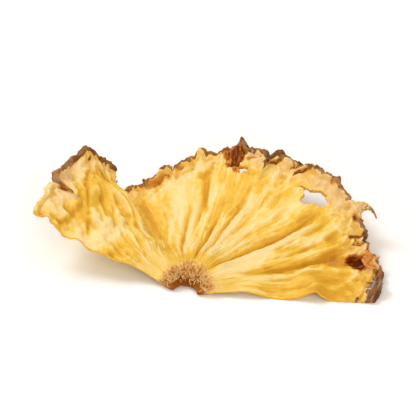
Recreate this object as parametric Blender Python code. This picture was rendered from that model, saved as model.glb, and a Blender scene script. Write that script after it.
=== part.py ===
"""A dried pineapple half ring: half of a round slice, dried with its core and its peel on.

Metres, +Z up. The slice lies on its back on a flat surface with the cut towards -Y and the peel
towards +Y. Every point of it has two flat coordinates, those of the fresh slice before it curled:
an angle in degrees round the core, 0 at the right end of the cut and 180 at the left end, and a
share of the way from the core's centre (0) to the peel (1).
"""

import math

import bmesh
import bpy
import numpy as np
from mathutils import Matrix, Vector, noise

NAME = "pineapple_half_ring"

# Sizes of the slice, laid flat
RADIUS = 0.0500
CORE_RADIUS = 0.0080
NOTCH_RADIUS = 0.0034
FLESH_THICKNESS = 0.0011
CORE_THICKNESS = 0.0024
PEEL_HEIGHT = 0.0028
PEEL_WIDTH = 0.0022
THICKNESS_BLEND = 0.0010

# The slice is thinner beside its two cuts
CUT_THINNING = 0.35
CUT_THINNING_WIDTH = 0.0030

# Where the core's centre stands, which puts the middle of the slice's footprint at the origin
CORE_PLACE = Vector((-0.00473, -0.02297, 0.0012))

# How each ray from the core to the peel lies once the slice has curled: its flat angle, the heading
# that it points in, how high its end stands above the core, and its length as a share of the radius.
# From 104 to 131 degrees the flesh is pleated: it dips, then a fold stands over the dip, and from
# there to the left end it is a raised wing.
RAYS = (
    (0, -3.2, -0.0012, 0.960),
    (12, 10.5, 0.0004, 0.996),
    (18.5, 16.4, 0.0024, 0.956),
    (22, 19.5, 0.0040, 0.975),
    (32, 28.5, 0.0078, 0.985),
    (42, 38, 0.0102, 0.982),
    (55, 51, 0.0105, 0.952),
    (68, 64, 0.0110, 0.935),
    (82, 77.5, 0.0075, 0.945),
    (92, 87.5, 0.0055, 0.945),
    (104, 99, 0.0015, 0.888),
    (113, 108, -0.0008, 0.874),
    (121, 115, -0.0004, 0.840),
    (131, 119.5, 0.0060, 0.840),
    (140, 122, 0.0122, 0.840),
    (149, 126, 0.0155, 0.915),
    (161, 139, 0.0168, 0.885),
    (169, 148, 0.0164, 0.855),
    (180, 161, 0.0155, 0.855),
)

# The sheet is thinner where it folds
FOLD_ANGLE = 129
FOLD_WIDTH = 12
FOLD_THINNING = 0.45

# Beside the core the rays are spread evenly between these headings
CORE_HEADINGS = (-1, 150)
CORE_SPREAD = (0.12, 0.55)
RISE_START = 0.12
RISE_POWER = 1.15

# How far the core has moved as the slice shrank
CORE_SHIFT = (-0.0013, 0.0003)

# The core stands round its notch like the wall of a funnel, highest opposite the cut
CORE_LIP_HEIGHT = 0.0034
CORE_LIP_SHARES = (0.070, 0.155, 0.45)

# Where the peel's lobes meet, and how deep the notch is there
NOTCHES = (
    (0, 0.0006),
    (7, 0.0007),
    (13, 0.0006),
    (17.5, 0.0010),
    (21.5, 0.0026),
    (28.5, 0.0010),
    (35, 0.0019),
    (41, 0.0005),
    (47, 0.0014),
    (56, 0.0023),
    (61, 0.0006),
    (66, 0.0042),
    (74, 0.0014),
    (81, 0.0008),
    (89, 0.0014),
    (92.5, 0.0022),
    (100, 0.0026),
    (106, 0.0009),
    (112, 0.0009),
    (121, 0.0010),
    (131, 0.0010),
    (137, 0.0009),
    (145, 0.0020),
    (153, 0.0009),
    (160.5, 0.0010),
    (166.5, 0.0060),
    (173, 0.0010),
    (180, 0.0006),
)
LOBE_TILTS = (5, -7, 9, 6, -8, 8, -9, 7, 8, -9, 10, -8, 9, -6, 10, -8, 9, -7, 8, 9, -7, 9, 8, -9, 8, 8, -9)
LOBE_TILT_HEIGHT = 0.0001
RIM_SHARE = 0.74

# Waves of the two cut edges: flat angle, share, spread in shares, and how high the edge is lifted
CUT_WAVES = (
    (0, 0.28, 0.07, 0.0008),
    (0, 0.50, 0.08, -0.0008),
    (0, 0.67, 0.06, 0.0030),
    (0, 0.84, 0.05, -0.0006),
    (180, 0.40, 0.07, 0.0012),
    (180, 0.62, 0.07, -0.0012),
    (180, 0.80, 0.06, -0.0016),
    (180, 0.92, 0.05, 0.0012),
)
CUT_WAVE_REACH = 0.010

# The fibres lean round the core as they leave it: by how many degrees, how many more from which
# angles on, from which angles they lean at all, and between which shares they straighten
FIBRE_LEAN = 10
FIBRE_LEAN_LEFT = 4
LEFT_ANGLES = (80, 108)
LEAN_ANGLES = (12, 40)
LEAN_SHARES = (0.20, 0.65)

# The pleats that show most, along the fibres: the angle at which each would meet the rim, its width
# in degrees, its depth, and the shares it runs between
PLEAT_FADE = 0.22
PLEAT_DRIFT = 0.8
PLEATS = (
    (6, 2.2, 0.0005, 0.25, 0.75),
    (12.5, 2.0, 0.0006, 0.22, 0.62),
    (20, 2.6, 0.0014, 0.28, 0.90),
    (27, 2.2, 0.0005, 0.45, 0.92),
    (33, 2.0, 0.0006, 0.66, 0.95),
    (38.5, 2.8, 0.0017, 0.16, 0.88),
    (48, 2.2, 0.0006, 0.42, 0.86),
    (54, 2.2, 0.0006, 0.52, 0.92),
    (60, 2.2, 0.0005, 0.28, 0.72),
    (67.5, 2.2, 0.0012, 0.18, 0.84),
    (73, 2.0, 0.0006, 0.36, 0.78),
    (78, 2.4, 0.0014, 0.15, 0.72),
    (87, 2.2, 0.0009, 0.42, 0.93),
    (95, 2.2, 0.0012, 0.16, 0.72),
    (102, 2.2, 0.0006, 0.18, 0.66),
    (108, 2.4, 0.0006, 0.20, 0.84),
    (143, 2.6, 0.0006, 0.45, 0.90),
    (149, 2.8, 0.0006, 0.18, 0.80),
    (157, 3.0, 0.0006, 0.30, 0.80),
    (163, 2.4, 0.0005, 0.18, 0.70),
    (168, 3.0, 0.0006, 0.35, 0.85),
    (174, 2.6, 0.0005, 0.18, 0.80),
)
SWELL_HEIGHT = 0.0011
SWELL_SIZE = 0.008
WING_SWELL = 1.2
WING_ANGLES = (136, 150)

# Dried-out eyes under the peel: flat angle, share, the radii along the peel and across it, depth
# and the height of the lip round it
EYES = (
    (14.8, 0.915, 0.0022, 0.0030, 0.0018, 0.0005),
    (33, 0.93, 0.0016, 0.0016, 0.0006, 0.0003),
    (60, 0.94, 0.0015, 0.0015, 0.0006, 0.0003),
    (78, 0.935, 0.0030, 0.0040, 0.0019, 0.0005),
    (107, 0.95, 0.0026, 0.0012, 0.0009, 0.0004),
    (152, 0.93, 0.0020, 0.0014, 0.0008, 0.0004),
)

# Holes right through, where an eye has dried away: flat angle, share, and the half-sizes along the
# peel and across it
HOLES = (
    (44.3, 0.858, 0.0035, 0.0022),
    (74.3, 0.867, 0.0013, 0.0009),
)
# How far the grid round a hole follows it, as a share of its half-size, and the hole's corners: their
# headings in radians, how far each stands out, and their width
HOLE_REACH = 2.4
HOLE_CORNERS = ((-2.24, -0.30), (-1.45, 0.60), (-0.39, -0.22), (0.25, 0.08), (1.08, -0.38), (2.45, 0.26))
HOLE_CORNER_WIDTH = 0.45

# Stiff bract tips that stand off the peel: flat angle, cells to each side at the root, length, lean
# along the peel in radians, how far the tip rises, and how far the bract arches halfway
BRACTS = (
    (31.5, 1, 0.0062, -1.05, 0.0004, 0.0010),
    (43.5, 1, 0.0014, 0.3, 0.0006, 0.0),
    (76.5, 2, 0.0024, 0.2, 0.0022, 0.0),
    (90, 1, 0.0018, 0.4, 0.0006, 0.0),
    (163.5, 1, 0.0009, 0.8, 0.0004, 0.0),
)
# The steps from a bract's root to its tip, how much of its width it loses and how soon, and how far
# it turns for each radian of lean
BRACT_STEPS = 5
BRACT_TAPER = 0.88
BRACT_SLIMMING = 0.65
BRACT_TURN = 1.3

# The grid: cells round the half circle, and rows up to a share of the radius
ANGLE_CELLS = 120
ROWS = ((0.16, 4), (0.84, 11), (1.0, 6))

MATERIAL_COLOUR = (0.90, 0.60, 0.13, 1)
MATERIAL_ROUGHNESS = 0.5


def ramp(value, low, high):
    """0 below low, 1 above high and smooth in between."""
    t = np.clip((value - low) / (high - low), 0, 1)
    return t * t * (3 - 2 * t)


def through(knots, values, at):
    """A smooth curve through the values at the knots, read at these places."""
    knots = np.array(knots, float)
    values = np.array(values, float)
    slopes = np.gradient(values, knots)
    i = np.clip(np.searchsorted(knots, at) - 1, 0, len(knots) - 2)
    width = knots[i + 1] - knots[i]
    t = (at - knots[i]) / width
    return (
        (1 + 2 * t) * (1 - t) ** 2 * values[i]
        + t * (1 - t) ** 2 * width * slopes[i]
        + t**2 * (3 - 2 * t) * values[i + 1]
        + t**2 * (t - 1) * width * slopes[i + 1]
    )


def flat_distance(angle, share, at_angle, at_share):
    """How far each point is from one place, along the peel and across it, on the flat slice."""
    along = np.radians(angle - at_angle) * RADIUS * at_share
    across = (share - at_share) * RADIUS
    return along, across


def grid_angles():
    return np.linspace(0, 180, ANGLE_CELLS + 1)


def grid_shares():
    start = NOTCH_RADIUS / RADIUS
    shares = [start]
    for end, rows in ROWS:
        shares.extend(np.linspace(shares[-1], end, rows + 1)[1:])
    return np.array(shares)


def hole_block(hole):
    """The cells that a hole takes out of the grid: first and last line each way."""
    at_angle, at_share, half_along, half_across = hole
    angles, shares = grid_angles(), grid_shares()
    half_angle = math.degrees(half_along / (RADIUS * at_share))
    low = int(np.argmin(abs(angles - (at_angle - half_angle))))
    high = int(np.argmin(abs(angles - (at_angle + half_angle))))
    inner = int(np.argmin(abs(shares - (at_share - half_across / RADIUS))))
    outer = int(np.argmin(abs(shares - (at_share + half_across / RADIUS))))
    return low, max(high, low + 1), inner, max(outer, inner + 1)


def open_hole(angle, share, hole):
    """Pushes the grid lines round a hole out, so that the block's square edge becomes an oval."""
    at_angle, at_share, half_along, half_across = hole
    low, high, inner, outer = hole_block(hole)
    angles, shares = grid_angles(), grid_shares()
    middle = np.array([(angles[low] + angles[high]) / 2, (shares[inner] + shares[outer]) / 2])
    half = np.array([(angles[high] - angles[low]) / 2, (shares[outer] - shares[inner]) / 2])
    u = (angle - middle[0]) / half[0]
    v = (share - middle[1]) / half[1]
    square = np.maximum(abs(u), abs(v))
    direction = np.arctan2(v, u)
    pull = 1 - ramp(square, 1, HOLE_REACH)
    for at_direction, size in HOLE_CORNERS:
        off = np.arctan2(np.sin(direction - at_direction), np.cos(direction - at_direction))
        square = square * (1 + size * np.exp(-((off / HOLE_CORNER_WIDTH) ** 2)))
    oval_angle = at_angle + np.degrees(half_along / (RADIUS * at_share)) * np.cos(direction) * square
    oval_share = at_share + half_across / RADIUS * np.sin(direction) * square
    return angle + (oval_angle - angle) * pull, share + (oval_share - share) * pull


def lobe_shape(angle):
    """How far the notches between the peel's lobes cut in, and the tilt of the lobes."""
    notches, depths = np.array(NOTCHES, float).T
    i = np.clip(np.searchsorted(notches, angle, side="right") - 1, 0, len(notches) - 2)
    t = np.clip((angle - notches[i]) / (notches[i + 1] - notches[i]), 0, 1)
    arch = np.sin(math.pi * t)
    depth = depths[i] + (depths[i + 1] - depths[i]) * t
    return depth * (1 - np.sqrt(arch)), arch * np.array(LOBE_TILTS)[i]


def core_lip_height(angle, share):
    start, crest, end = CORE_LIP_SHARES
    height = CORE_LIP_HEIGHT * np.sin(np.radians(angle))
    return height * ramp(share, start, crest) * (1 - ramp(share, crest, end))


def cut_wave_height(angle, share):
    height = np.zeros_like(angle)
    for at_angle, at_share, spread, lift in CUT_WAVES:
        from_cut = RADIUS * share * abs(np.sin(np.radians(angle - at_angle)))
        near = (1 - ramp(from_cut, 0, CUT_WAVE_REACH)) * (abs(angle - at_angle) < 90)
        height += lift * near * np.exp(-(((share - at_share) / spread) ** 2))
    return height


def fibre_angle(angle, share):
    """The angle at which the fibre through this place meets the rim."""
    lean = FIBRE_LEAN + FIBRE_LEAN_LEFT * ramp(angle, *LEFT_ANGLES)
    return angle - lean * (1 - ramp(share, *LEAN_SHARES)) * ramp(angle, *LEAN_ANGLES)


def pleat_height(angle, share):
    height = np.zeros_like(angle)
    fibre = fibre_angle(angle, share)
    for at_angle, width, depth, start, end in PLEATS:
        drift = PLEAT_DRIFT * np.sin(5 * share + at_angle)
        across = np.exp(-(((fibre - at_angle - drift) / width) ** 2))
        starts = ramp(share, start, start + PLEAT_FADE)
        ends = ramp(share, end - PLEAT_FADE, end)
        height -= depth * across * starts * (1 - ends)
    return height


def eye_height(angle, share):
    height = np.zeros_like(angle)
    for at_angle, at_share, radius_along, radius_across, depth, lip in EYES:
        along, across = flat_distance(angle, share, at_angle, at_share)
        distance = np.hypot(along / radius_along, across / radius_across)
        height += lip * np.exp(-(((distance - 1.2) / 0.4) ** 2)) - depth * (1 - ramp(distance, 0.3, 1.1))
    return height


def swell_height(angle, share):
    """The slow, uneven swell of flesh that has shrunk here more than there."""
    reach = RADIUS * share
    x = reach * np.cos(np.radians(angle)) / SWELL_SIZE
    y = reach * np.sin(np.radians(angle)) / SWELL_SIZE
    swell = np.vectorize(lambda a, b: noise.noise(Vector((a, b, 0.0))))(x, y)
    return SWELL_HEIGHT * swell * ramp(share, 0.16, 0.40) * (1 + WING_SWELL * ramp(angle, *WING_ANGLES))


def curled_surface(angle, share, lobed):
    """The slice as it curled, without its relief, as points in the part's frame."""
    knots, headings, heights, reaches = zip(*RAYS)
    curled = ramp(share, *CORE_SPREAD)
    even_heading = CORE_HEADINGS[0] + (CORE_HEADINGS[1] - CORE_HEADINGS[0]) * angle / 180
    heading = np.radians(even_heading + (through(knots, headings, angle) - even_heading) * curled)
    cut_in, tilt = lobe_shape(angle)
    at_rim = ramp(share, RIM_SHARE, 1) * lobed
    reach = RADIUS * share * (1 + (through(knots, reaches, angle) - 1) * curled) - cut_in * at_rim
    risen = (np.clip(share - RISE_START, 0, None) / (1 - RISE_START)) ** RISE_POWER
    height = through(knots, heights, angle) * risen + core_lip_height(angle, share)
    height = height + LOBE_TILT_HEIGHT * tilt * at_rim + cut_wave_height(angle, share)
    return np.stack(
        (
            CORE_PLACE.x + CORE_SHIFT[0] * (1 - curled) + reach * np.cos(heading),
            CORE_PLACE.y + CORE_SHIFT[1] * (1 - curled) + reach * np.sin(heading),
            CORE_PLACE.z + height,
        ),
        axis=-1,
    )


def thickness(angle, share):
    reach = RADIUS * share
    peel_start = RADIUS - PEEL_WIDTH
    in_core = 1 - ramp(reach, CORE_RADIUS - THICKNESS_BLEND, CORE_RADIUS + THICKNESS_BLEND)
    in_peel = ramp(reach, peel_start - THICKNESS_BLEND, peel_start + THICKNESS_BLEND)
    at_cut = 1 - ramp(reach * np.sin(np.radians(angle)), 0, CUT_THINNING_WIDTH)
    in_fold = np.exp(-(((angle - FOLD_ANGLE) / FOLD_WIDTH) ** 2))
    thick = FLESH_THICKNESS + (CORE_THICKNESS - FLESH_THICKNESS) * in_core
    thick = thick + (PEEL_HEIGHT - FLESH_THICKNESS) * in_peel
    return thick * (1 - CUT_THINNING * at_cut) * (1 - FOLD_THINNING * in_fold)


def normals_of(points):
    """Upward unit normals of a grid of points: the first axis runs round, the second outwards."""
    round_way = np.gradient(points, axis=0)
    out_way = np.gradient(points, axis=1)
    normals = np.cross(out_way, round_way)
    return normals / np.linalg.norm(normals, axis=-1, keepdims=True)


def faces_of_sheet():
    """The upper and lower faces of the slice, as two grids of points."""
    angle, share = np.meshgrid(grid_angles(), grid_shares(), indexing="ij")
    for hole in HOLES:
        angle, share = open_hole(angle, share, hole)
    curled = curled_surface(angle, share, True)
    normals = normals_of(curled_surface(angle, share, False))
    relief = pleat_height(angle, share) + eye_height(angle, share) + swell_height(angle, share)
    middle = curled + normals * relief[..., None]
    half = normals * thickness(angle, share)[..., None] / 2
    upper, lower = middle + half, middle - half
    lower[..., 2] = np.maximum(lower[..., 2], 0)
    upper[..., 2] = np.maximum(upper[..., 2], lower[..., 2] + FLESH_THICKNESS / 2)
    return upper, lower


def in_hole(i, j):
    for hole in HOLES:
        low, high, inner, outer = hole_block(hole)
        if low <= i < high and inner <= j < outer:
            return True
    return False


def bract_ring(top, bottom, place, cells):
    """The vertices of the peel's edge that a bract grows from, in order round it."""
    there = [top[place + step][-1] for step in range(-cells, cells + 1)]
    back = [bottom[place + step][-1] for step in range(cells, -cells - 1, -1)]
    return there + back


def bract_place(middle, outwards, bract, t):
    """Where the middle of a bract is, this share of the way to its tip."""
    _, _, length, lean, rise, arch = bract
    along = Vector((-outwards.y, outwards.x, 0))
    out_by = length * math.cos(lean) * (1 - (1 - t) ** 2)
    along_by = length * math.sin(lean) * t * t
    place = middle + out_by * outwards + along_by * along
    place.z += rise * t * t + arch * 4 * t * (1 - t)
    return place


def bract_turn(bract, t):
    """How far the bract has turned along the peel there, as a rotation."""
    return Matrix.Rotation(BRACT_TURN * bract[3] * t, 3, "Z")


def grow_bract(body, ring, outwards, bract):
    """Draws the ring out into a tapered tip and closes it."""
    middle = sum((vertex.co for vertex in ring), Vector()) / len(ring)
    base = ring
    for step in range(1, BRACT_STEPS + 1):
        t = step / BRACT_STEPS
        place = bract_place(middle, outwards, bract, t)
        size = 1 - BRACT_TAPER * t**BRACT_SLIMMING
        turn = bract_turn(bract, t)
        tip = [body.verts.new(place + size * (turn @ (vertex.co - middle))) for vertex in base]
        for k in range(len(ring)):
            after = (k + 1) % len(ring)
            body.faces.new((ring[after], ring[k], tip[k], tip[after]))
        ring = tip
    body.faces.new(list(reversed(ring)))


def build_sheet():
    """One closed mesh: both faces, a wall along every edge that only one cell has, and the bracts."""
    upper, lower = faces_of_sheet()
    rounds, rows = upper.shape[:2]
    body = bmesh.new()
    top = [[body.verts.new(point) for point in line] for line in upper]
    bottom = [[body.verts.new(point) for point in line] for line in lower]
    for i in range(rounds - 1):
        for j in range(rows - 1):
            if in_hole(i, j):
                continue
            corners = ((i, j), (i, j + 1), (i + 1, j + 1), (i + 1, j))
            body.faces.new([top[a][b] for a, b in corners])
            body.faces.new([bottom[a][b] for a, b in reversed(corners)])
    opposite = {top[i][j]: bottom[i][j] for i in range(rounds) for j in range(rows)}
    edges = [edge for edge in body.edges if edge.is_boundary and edge.verts[0] in opposite]
    for bract in BRACTS:
        place = round(bract[0] / 180 * ANGLE_CELLS)
        outwards = Vector(upper[place, -1] - upper[place, -3])
        outwards.z = 0
        ring = bract_ring(top, bottom, place, bract[1])
        grow_bract(body, ring, outwards.normalized(), bract)
        edges = [edge for edge in edges if not set(edge.verts) <= set(ring)]
    for edge in edges:
        first = edge.link_loops[0].vert
        second = edge.link_loops[0].link_loop_next.vert
        body.faces.new((second, first, opposite[first], opposite[second]))
    for vertex in [vertex for vertex in body.verts if not vertex.link_faces]:
        body.verts.remove(vertex)
    return body


def flesh_material():
    material = bpy.data.materials.new("dried_flesh")
    material.use_nodes = True
    shader = material.node_tree.nodes["Principled BSDF"]
    shader.inputs["Base Color"].default_value = MATERIAL_COLOUR
    shader.inputs["Roughness"].default_value = MATERIAL_ROUGHNESS
    shader.inputs["Metallic"].default_value = 0
    return material


def main():
    for old in list(bpy.data.objects):
        bpy.data.objects.remove(old)
    body = build_sheet()
    bmesh.ops.triangulate(body, faces=body.faces[:], quad_method="SHORT_EDGE")
    mesh = bpy.data.meshes.new(NAME)
    body.to_mesh(mesh)
    body.free()
    mesh.shade_smooth()
    mesh.set_sharp_from_angle(angle=math.radians(50))
    half_ring = bpy.data.objects.new(NAME, mesh)
    mesh.materials.append(flesh_material())
    bpy.context.scene.collection.objects.link(half_ring)


if __name__ == "__main__":
    main()
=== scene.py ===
import math

import bmesh
import bpy
import numpy as np
from mathutils import Matrix, Vector, noise


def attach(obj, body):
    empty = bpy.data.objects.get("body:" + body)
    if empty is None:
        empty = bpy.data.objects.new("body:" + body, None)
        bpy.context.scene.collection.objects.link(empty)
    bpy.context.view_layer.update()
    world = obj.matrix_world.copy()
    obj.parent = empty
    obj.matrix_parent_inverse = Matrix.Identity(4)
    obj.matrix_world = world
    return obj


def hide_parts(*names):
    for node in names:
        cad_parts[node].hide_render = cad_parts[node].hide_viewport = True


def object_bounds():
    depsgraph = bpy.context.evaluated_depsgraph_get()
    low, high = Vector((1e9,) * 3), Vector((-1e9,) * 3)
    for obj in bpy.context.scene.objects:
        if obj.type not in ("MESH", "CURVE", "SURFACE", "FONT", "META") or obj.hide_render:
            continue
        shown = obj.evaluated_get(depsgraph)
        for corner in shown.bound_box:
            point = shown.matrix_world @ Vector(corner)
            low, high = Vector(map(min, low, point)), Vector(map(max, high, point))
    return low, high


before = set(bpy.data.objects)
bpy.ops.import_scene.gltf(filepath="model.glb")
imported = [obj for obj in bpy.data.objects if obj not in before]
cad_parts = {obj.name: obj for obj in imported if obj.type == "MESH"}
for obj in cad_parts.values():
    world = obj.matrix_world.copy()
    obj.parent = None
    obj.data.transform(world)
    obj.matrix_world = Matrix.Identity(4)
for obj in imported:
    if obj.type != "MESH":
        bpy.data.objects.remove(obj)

cad_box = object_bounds()

# The slice has two flat coordinates, those of the fresh slice before it curled: an angle in degrees
# round the core, 0 at the right end of the cut and 180 at the left end, and a share of the way from
# the core's centre (0) to the peel (1). Metres, +Z up, in the frame's own place.
NODE = "pineapple_half_ring"

# ---- The form, as the solid has it ----

RADIUS = 0.0500
CORE_RADIUS = 0.0080
NOTCH_RADIUS = 0.0034
FLESH_THICKNESS = 0.0011
CORE_THICKNESS = 0.0024
PEEL_HEIGHT = 0.0028
PEEL_WIDTH = 0.0022
THICKNESS_BLEND = 0.0010
CUT_THINNING = 0.35
CUT_THINNING_WIDTH = 0.0030
# Where the core's centre stands, and how far the core moved as the slice shrank
CORE_PLACE = Vector((-0.00473, -0.02297, 0.0012))
CORE_SHIFT = (-0.0013, 0.0003)
# How each ray lies once curled: flat angle, heading, height of its end, length as a share
RAYS = (
    (0, -3.2, -0.0012, 0.96), (12, 10.5, 0.0004, 0.996), (18.5, 16.4, 0.0024, 0.956),
    (22, 19.5, 0.004, 0.975), (32, 28.5, 0.0078, 0.985), (42, 38, 0.0102, 0.982),
    (55, 51, 0.0105, 0.952), (68, 64, 0.011, 0.935), (82, 77.5, 0.0075, 0.945),
    (92, 87.5, 0.0055, 0.945), (104, 99, 0.0015, 0.888), (113, 108, -0.0008, 0.874),
    (121, 115, -0.0004, 0.84), (131, 119.5, 0.006, 0.84), (140, 122, 0.0122, 0.84),
    (149, 126, 0.0155, 0.915), (161, 139, 0.0168, 0.885), (169, 148, 0.0164, 0.855),
    (180, 161, 0.0155, 0.855),
)
# The sheet is thinner where it folds
FOLD_ANGLE = 129
FOLD_WIDTH = 12
FOLD_THINNING = 0.45
# Beside the core the rays are spread evenly between these headings
CORE_HEADINGS = (-1, 150)
CORE_SPREAD = (0.12, 0.55)
# A ray rises from this share on, and bends up by this power
RISE_START = 0.12
RISE_POWER = 1.15
# The core stands round its notch like the wall of a funnel
CORE_LIP_HEIGHT = 0.0034
CORE_LIP_SHARES = (0.070, 0.155, 0.45)
# Where the peel's lobes meet, how deep the notch is there, and how the lobes between them tilt
NOTCHES = (
    (0, 0.0006), (7, 0.0007), (13, 0.0006), (17.5, 0.001), (21.5, 0.0026), (28.5, 0.001),
    (35, 0.0019), (41, 0.0005), (47, 0.0014), (56, 0.0023), (61, 0.0006), (66, 0.0042),
    (74, 0.0014), (81, 0.0008), (89, 0.0014), (92.5, 0.0022), (100, 0.0026), (106, 0.0009),
    (112, 0.0009), (121, 0.001), (131, 0.001), (137, 0.0009), (145, 0.002), (153, 0.0009),
    (160.5, 0.001), (166.5, 0.006), (173, 0.001), (180, 0.0006),
)
LOBE_TILTS = (
    5, -7, 9, 6, -8, 8, -9, 7, 8, -9, 10, -8, 9, -6, 10, -8, 9, -7, 8, 9, -7, 9, 8, -9, 8, 8, -9,
)
LOBE_TILT_HEIGHT = 0.0001
RIM_SHARE = 0.74
# Waves of the two cut edges: flat angle, share, spread in shares, lift
CUT_WAVES = (
    (0, 0.28, 0.07, 0.0008), (0, 0.5, 0.08, -0.0008), (0, 0.67, 0.06, 0.003),
    (0, 0.84, 0.05, -0.0006), (180, 0.4, 0.07, 0.0012), (180, 0.62, 0.07, -0.0012),
    (180, 0.8, 0.06, -0.0016), (180, 0.92, 0.05, 0.0012),
)
CUT_WAVE_REACH = 0.010
# The fibres lean round the core as they leave it, more to the left, and straighten further out
FIBRE_LEAN = 10
FIBRE_LEAN_LEFT = 4
LEFT_ANGLES = (80, 108)
LEAN_ANGLES = (12, 40)
LEAN_SHARES = (0.20, 0.65)
# Pleats along the fibres: the angle at which each would meet the rim, width in degrees, depth, and
# the shares it runs between. A higher sharpness makes their sides steeper.
PLEATS = (
    (6, 2.2, 0.0005, 0.25, 0.75), (12.5, 2, 0.0006, 0.22, 0.62), (20, 2.6, 0.0014, 0.28, 0.9),
    (27, 2.2, 0.0005, 0.45, 0.92), (33, 2, 0.0006, 0.66, 0.95), (38.5, 2.8, 0.0017, 0.16, 0.88),
    (48, 2.2, 0.0006, 0.42, 0.86), (54, 2.2, 0.0006, 0.52, 0.92), (60, 2.2, 0.0005, 0.28, 0.72),
    (67.5, 2.2, 0.0012, 0.18, 0.84), (73, 2, 0.0006, 0.36, 0.78), (78, 2.4, 0.0014, 0.15, 0.72),
    (87, 2.2, 0.0009, 0.42, 0.93), (95, 2.2, 0.0012, 0.16, 0.72), (102, 2.2, 0.0006, 0.18, 0.66),
    (108, 2.4, 0.0006, 0.2, 0.84), (143, 2.6, 0.0006, 0.45, 0.9), (149, 2.8, 0.0006, 0.18, 0.8),
    (157, 3, 0.0006, 0.3, 0.8), (163, 2.4, 0.0005, 0.18, 0.7), (168, 3, 0.0006, 0.35, 0.85),
    (174, 2.6, 0.0005, 0.18, 0.8),
)
PLEAT_FADE = 0.22
PLEAT_DRIFT = 0.8
PLEAT_DRIFT_WAVES = 5
PLEAT_SHARPNESS = 1.3
# Low swells of the whole sheet: size, height, seed
SWELL_LAYERS = ((0.008, 0.0011, 0.0),)
SWELL_SHARES = (0.16, 0.40)
# How much stronger they are on the wing, and where the wing starts
WING_SWELL = 1.2
WING_ANGLES = (136, 150)
# Dried-out eyes: angle, share, radius along the peel, radius across, depth, lip
EYES = (
    (14.8, 0.915, 0.0022, 0.003, 0.0018, 0.0005), (33, 0.93, 0.0016, 0.0016, 0.0006, 0.0003),
    (60, 0.94, 0.0015, 0.0015, 0.0006, 0.0003), (78, 0.935, 0.003, 0.004, 0.0019, 0.0005),
    (107, 0.95, 0.0026, 0.0012, 0.0009, 0.0004), (152, 0.93, 0.002, 0.0014, 0.0008, 0.0004),
)
# The lip's place and width and the pit's bottom and edge, as shares of an eye's radius
EYE_LIP = (1.2, 0.4)
EYE_PIT = (0.3, 1.1)
# Holes: angle, share, half-sizes along the peel and across. Their corners: heading, how far out.
HOLES = ((44.3, 0.858, 0.0035, 0.0022), (74.3, 0.867, 0.0015, 0.0011))
HOLE_REACH = 2.4
HOLE_CORNERS = (
    (-2.24, -0.3), (-1.45, 0.6), (-0.39, -0.22), (0.25, 0.08), (1.08, -0.38), (2.45, 0.26),
)
HOLE_CORNER_WIDTH = 0.45
# Stiff bract tips: angle, cells to each side, length, lean, rise at the tip, arch halfway
BRACTS = (
    (31.5, 1, 0.0062, -1.05, 0.0004, 0.001), (43.5, 1, 0.0014, 0.3, 0.0006, 0),
    (76.5, 2, 0.0024, 0.2, 0.0022, 0), (90, 1, 0.0018, 0.4, 0.0006, 0),
    (163.5, 1, 0.0009, 0.8, 0.0004, 0),
)
BRACT_TAPER = 0.88
BRACT_SLIMMING = 0.65
BRACT_TURN = 1.3

# The fine mesh: cells of the solid's grid split this many times round, and rows up to a share
SOLID_CELLS = 120
SPLIT = 4
ANGLE_CELLS = SOLID_CELLS * SPLIT
ROWS = ((0.16, 9), (0.84, 54), (1.0, 27))
WALL_STEPS = 6
BRACT_STEPS = 10
# How many rows inwards a bract's heading is measured over
BRACT_ROWS = 11
# The cut edge's bulge is a share of its height, and so are the depths of its roughness (size,
# depth). A bract's roughness has both in metres.
WALL_BULGE = 0.16
WALL_ROUGHNESS = ((0.0011, 0.10), (0.0005, 0.07))
BRACT_ROUGHNESS = (0.0007, 0.00012)
# A bract turns to peel over this part of its length
BRACT_PEEL = (0.3, 0.8)
# How far off the lower face's textures are from the upper's
FLAT_SIDE = 50.0
# No loose piece goes lower than this
FLOOR_GAP = 0.0001


def ramp(value, low, high):
    """0 below low, 1 above high and smooth in between."""
    t = np.clip((value - low) / (high - low), 0, 1)
    return t * t * (3 - 2 * t)


def hump(value, middle, width):
    """1 in the middle, fading to 0 to both sides."""
    return np.exp(-(((value - middle) / width) ** 2))


def through(knots, values, at):
    """A smooth curve through the values at the knots, read at these places."""
    knots = np.array(knots, float)
    values = np.array(values, float)
    slopes = np.gradient(values, knots)
    i = np.clip(np.searchsorted(knots, at) - 1, 0, len(knots) - 2)
    width = knots[i + 1] - knots[i]
    t = (at - knots[i]) / width
    return (
        (1 + 2 * t) * (1 - t) ** 2 * values[i]
        + t * (1 - t) ** 2 * width * slopes[i]
        + t**2 * (3 - 2 * t) * values[i + 1]
        + t**2 * (t - 1) * width * slopes[i + 1]
    )


grain = np.vectorize(lambda x, y, z: noise.noise(Vector((x, y, z))))


def flat_place(angle, share):
    """Where a point is on the flat slice, in metres from the core's centre."""
    reach = RADIUS * share
    return reach * np.cos(np.radians(angle)), reach * np.sin(np.radians(angle))


def lumps(layers, angle, share, side=0.0):
    """Lumps and dents with no direction, in layers: size, height, seed."""
    x, y = flat_place(angle, share)
    return sum(tall * grain(x / size, y / size, seed + side) for size, tall, seed in layers)


def ribs(layers, angle, share, side=0.0):
    """Ribs along the rays, in layers: degrees across, waves to the radius, height, seed."""
    return sum(
        tall * grain(angle / wide, share * waves, seed + side) for wide, waves, tall, seed in layers
    )


def index_at(values, at):
    """The index of the value nearest to this one."""
    return int(np.argmin(abs(values - at)))


def grid_shares():
    shares = [NOTCH_RADIUS / RADIUS]
    for end, rows in ROWS:
        shares.extend(np.linspace(shares[-1], end, rows + 1)[1:])
    return np.array(shares)


ANGLES = np.linspace(0, 180, ANGLE_CELLS + 1)
SHARES = grid_shares()


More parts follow.
